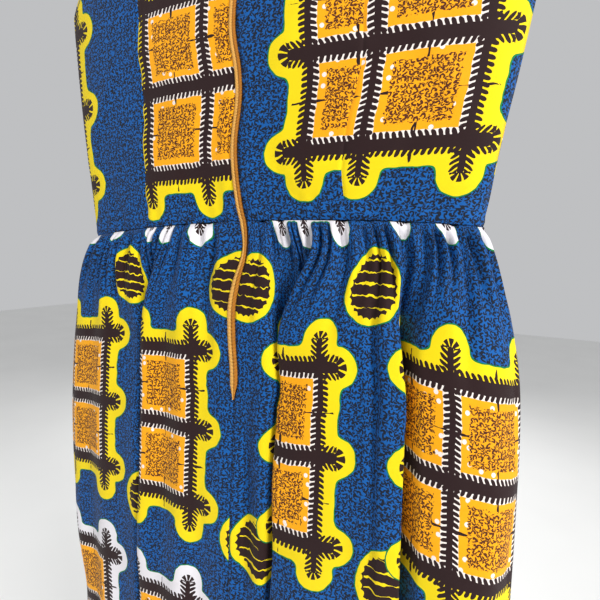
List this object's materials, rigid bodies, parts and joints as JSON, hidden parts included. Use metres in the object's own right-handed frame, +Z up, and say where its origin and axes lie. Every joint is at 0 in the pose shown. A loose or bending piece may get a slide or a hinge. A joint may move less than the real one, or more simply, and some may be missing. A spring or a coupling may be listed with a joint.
{
  "type": "ankara wax print dress on a hanger",
  "caption": "Sleeveless fit-and-flare dress in a bold wax print, zipped down the back and gathered at the waist, hanging on a plain hanger.",
  "frame": {"origin": "inner top of the hanger's hook, where a rail carries it", "axes": "+Z up, -Y out of the back of the dress, +X to the right as the back is looked at"},
  "size_m": [0.5254, 0.1326, 1.1604],
  "materials": {
    "wax_print": "matt printed cotton",
    "zip_tape": "woven",
    "zip_coil": "satin",
    "zip_metal": "polished",
    "hanger_plastic": "satin"
  },
  "bodies": {
    "body": {"bodice_back_left": "wax_print", "bodice_back_right": "wax_print", "bodice_front": "wax_print", "skirt_back_left": "wax_print", "skirt_back_right": "wax_print", "skirt_front": "wax_print", "zip_tape_left": "zip_tape", "zip_tape_right": "zip_tape", "zip_chain": "zip_coil", "zip_slider": "zip_metal", "hanger": "hanger_plastic"},
    "pull": {"zip_pull_tab": "zip_metal"}
  },
  "joints": [
    {"name": "pull_hinge", "type": "hinge", "parent": "body", "child": "pull", "pos_m": [-0.0007, -0.03191, -0.1275], "axis": [-1, 0, 0], "range_deg": [0, 150]}
  ]
}
